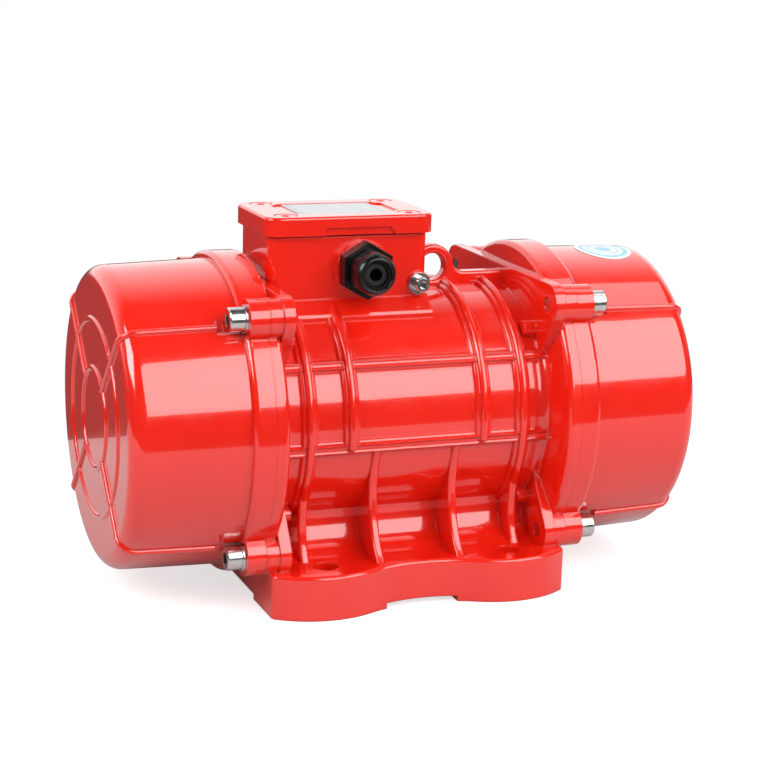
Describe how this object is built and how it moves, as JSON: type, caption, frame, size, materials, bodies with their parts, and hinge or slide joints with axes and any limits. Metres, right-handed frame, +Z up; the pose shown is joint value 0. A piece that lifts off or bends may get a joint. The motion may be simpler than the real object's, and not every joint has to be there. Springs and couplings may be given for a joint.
{
  "type": "vibration motor",
  "caption": "Foot-mounted three-phase vibration motor with out-of-balance weights under round end covers, terminal box on top and a lifting eye.",
  "frame": {"origin": "centre of the four foot holes on the mounting face", "axes": "+X along the shaft, -Y towards the side with the cable gland, +Z up from the mounting face"},
  "size_m": [0.3234, 0.175, 0.2035],
  "materials": {
    "painted_casting": "gloss",
    "zinc_plated_steel": "satin",
    "black_rubber": "matt",
    "grey_iron": "machined",
    "bearing_steel": "ground",
    "brass_cage": "satin",
    "spring_steel": "phosphated",
    "black_bolt_steel": "black oxide",
    "lamination_steel": "stacked sheet",
    "enamelled_copper": "varnished",
    "cast_aluminium": "as cast",
    "black_plastic": "satin",
    "plate_aluminium": "satin",
    "label_film": "gloss"
  },
  "bodies": {
    "motor_body": {"cover_sticker": "label_film", "data_plate": "plate_aluminium", "earth_screw": "zinc_plated_steel", "earth_washer": "zinc_plated_steel", "gland_body": "black_plastic", "gland_nut": "black_plastic", "gland_seal": "black_rubber", "housing": "painted_casting", "left_bearing_cap": "grey_iron", "left_bearing_cap_screws": "zinc_plated_steel", "left_bearing_outer_ring": "bearing_steel", "left_bearing_shield": "grey_iron", "left_cover": "painted_casting", "left_cover_oring": "black_rubber", "left_cover_screws": "zinc_plated_steel", "left_cover_washers": "zinc_plated_steel", "left_shield_screws": "zinc_plated_steel", "lid_gasket": "black_rubber", "lid_screws": "zinc_plated_steel", "right_bearing_cap": "grey_iron", "right_bearing_cap_screws": "zinc_plated_steel", "right_bearing_outer_ring": "bearing_steel", "right_bearing_shield": "grey_iron", "right_cover": "painted_casting", "right_cover_oring": "black_rubber", "right_cover_screws": "zinc_plated_steel", "right_cover_washers": "zinc_plated_steel", "right_shield_screws": "zinc_plated_steel", "stator_core": "lamination_steel", "stator_windings": "enamelled_copper", "terminal_block": "black_plastic", "terminal_lid": "painted_casting", "terminal_nuts": "brass_cage", "terminal_studs": "brass_cage"},
    "rotor": {"left_bearing_circlip": "spring_steel", "left_bearing_inner_ring": "bearing_steel", "left_fixed_weight": "grey_iron", "left_fixed_weight_bolt": "black_bolt_steel", "left_shaft_circlip": "spring_steel", "left_weight_key": "spring_steel", "right_bearing_circlip": "spring_steel", "right_bearing_inner_ring": "bearing_steel", "right_fixed_weight": "grey_iron", "right_fixed_weight_bolt": "black_bolt_steel", "right_shaft_circlip": "spring_steel", "right_weight_key": "spring_steel", "rotor_cage": "cast_aluminium", "rotor_core": "lamination_steel", "shaft": "bearing_steel"},
    "left_ball_set": {"left_bearing_balls": "bearing_steel", "left_bearing_cage": "brass_cage"},
    "left_weight_setting": {"left_adjustable_weight": "grey_iron", "left_adjustable_weight_bolt": "black_bolt_steel"},
    "right_ball_set": {"right_bearing_balls": "bearing_steel", "right_bearing_cage": "brass_cage"},
    "right_weight_setting": {"right_adjustable_weight": "grey_iron", "right_adjustable_weight_bolt": "black_bolt_steel"}
  },
  "joints": [
    {"name": "rotor_spin", "type": "hinge", "parent": "motor_body", "child": "rotor", "pos_m": [0, 0, 0.0945], "axis": [1, 0, 0], "continuous": true},
    {"name": "left_ball_set_orbit", "type": "hinge", "parent": "motor_body", "child": "left_ball_set", "pos_m": [-0.0685, 0, 0.0945], "axis": [1, 0, 0], "continuous": true},
    {"name": "right_ball_set_orbit", "type": "hinge", "parent": "motor_body", "child": "right_ball_set", "pos_m": [0.0685, 0, 0.0945], "axis": [1, 0, 0], "continuous": true},
    {"name": "left_weight_angle", "type": "hinge", "parent": "rotor", "child": "left_weight_setting", "pos_m": [-0.125, 0, 0.0945], "axis": [-1, 0, 0], "range_deg": [0, 180]},
    {"name": "right_weight_angle", "type": "hinge", "parent": "rotor", "child": "right_weight_setting", "pos_m": [0.125, 0, 0.0945], "axis": [1, 0, 0], "range_deg": [0, 180]}
  ],
  "couplings": [
    {"joint": "left_ball_set_orbit", "follows": "rotor_spin", "ratio": 0.3678},
    {"joint": "right_ball_set_orbit", "follows": "rotor_spin", "ratio": 0.3678}
  ]
}
